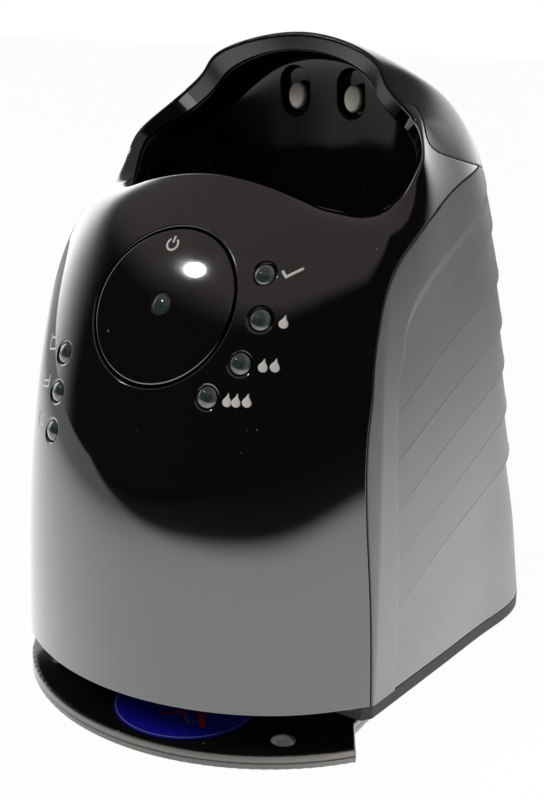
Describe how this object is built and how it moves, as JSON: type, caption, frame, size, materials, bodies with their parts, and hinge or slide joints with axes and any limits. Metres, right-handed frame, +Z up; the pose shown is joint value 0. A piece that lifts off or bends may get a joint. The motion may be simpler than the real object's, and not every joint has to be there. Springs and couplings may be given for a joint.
{
  "type": "shaver cleaning station",
  "caption": "Black cleaning and charging station for an electric shaver: an open well under a hood, a large round start button, and a housing that rises off its base.",
  "frame": {"origin": "bottom centre of the part's box, on the surface it stands on", "axes": "+Z up, the start button faces -Y, +X to the right of someone who faces the button"},
  "size_m": [0.1042, 0.1262, 0.1586],
  "materials": {
    "gloss_black": "high gloss moulded",
    "satin_grey": "satin moulded",
    "satin_light": "satin moulded",
    "matte_black": "fine spark-eroded",
    "base_grey": "satin moulded",
    "clear_pipe": "clear moulded light pipe",
    "contact_steel": "polished",
    "steel": "drawn",
    "rubber": "moulded",
    "board": "glass fibre board",
    "copper": "wound",
    "print_blue": "printed sheet",
    "natural": "moulded"
  },
  "bodies": {
    "base": {"base_tray": "gloss_black", "base_cover": "base_grey", "base_feet": "rubber", "base_screws": "steel", "guide_columns": "steel", "stop_washers": "steel", "column_screws": "steel", "lift_springs": "steel", "floor_label": "print_blue"},
    "housing": {"front_shell": "gloss_black", "side_panel_left": "satin_grey", "side_panel_right": "satin_grey", "rear_cover": "satin_light", "well_liner": "gloss_black", "bottom_frame": "matte_black", "chassis": "matte_black", "chassis_screws": "steel", "guide_sleeves": "natural", "wash_basin": "natural", "well_seal": "rubber", "drying_coil": "copper", "drain_pipe": "natural", "pump_housing": "natural", "pump_motor": "steel", "suction_pipe": "natural", "delivery_pipe": "natural", "main_board": "board", "indicator_board": "board", "start_switch": "matte_black", "button_guide": "matte_black", "button_spring": "steel", "status_lights": "clear_pipe", "level_lights": "clear_pipe", "contact_block": "matte_black", "power_inlet": "matte_black", "inlet_pins": "contact_steel"},
    "start_button": {"start_button": "gloss_black", "button_window": "clear_pipe"},
    "lift_button": {"lift_button": "satin_grey"},
    "latch_hook": {"latch_hook": "natural"},
    "pump_rotor": {"pump_rotor": "natural"},
    "contact_pin_left": {"contact_pin_left": "contact_steel"},
    "contact_pin_right": {"contact_pin_right": "contact_steel"}
  },
  "joints": [
    {"name": "housing_lift", "type": "slide", "parent": "base", "child": "housing", "axis": [0, 0, 1], "range_m": [0, 0.04], "deforming": ["lift_springs"]},
    {"name": "button_press", "type": "slide", "parent": "housing", "child": "start_button", "axis": [0, 0.8988, -0.4384], "range_m": [0, 0.0015], "stiffness_N_per_m": 900, "springref_m": -0.0005, "deforming": ["button_spring"]},
    {"name": "lift_button_press", "type": "slide", "parent": "housing", "child": "lift_button", "axis": [0, -1, 0], "range_m": [0, 0.003], "stiffness_N_per_m": 500, "springref_m": -0.001},
    {"name": "hook_slide", "type": "slide", "parent": "housing", "child": "latch_hook", "axis": [0, -1, 0], "range_m": [0, 0.003]},
    {"name": "rotor_spin", "type": "hinge", "parent": "housing", "child": "pump_rotor", "pos_m": [0.0355, 0.00215, 0.058], "axis": [0, 0, 1], "continuous": true},
    {"name": "contact_left_press", "type": "slide", "parent": "housing", "child": "contact_pin_left", "axis": [0, 1, 0], "range_m": [0, 0.001], "stiffness_N_per_m": 600, "springref_m": -0.0003},
    {"name": "contact_right_press", "type": "slide", "parent": "housing", "child": "contact_pin_right", "axis": [0, 1, 0], "range_m": [0, 0.001], "stiffness_N_per_m": 600, "springref_m": -0.0003}
  ],
  "couplings": [
    {"joint": "hook_slide", "follows": "lift_button_press", "ratio": 1}
  ]
}
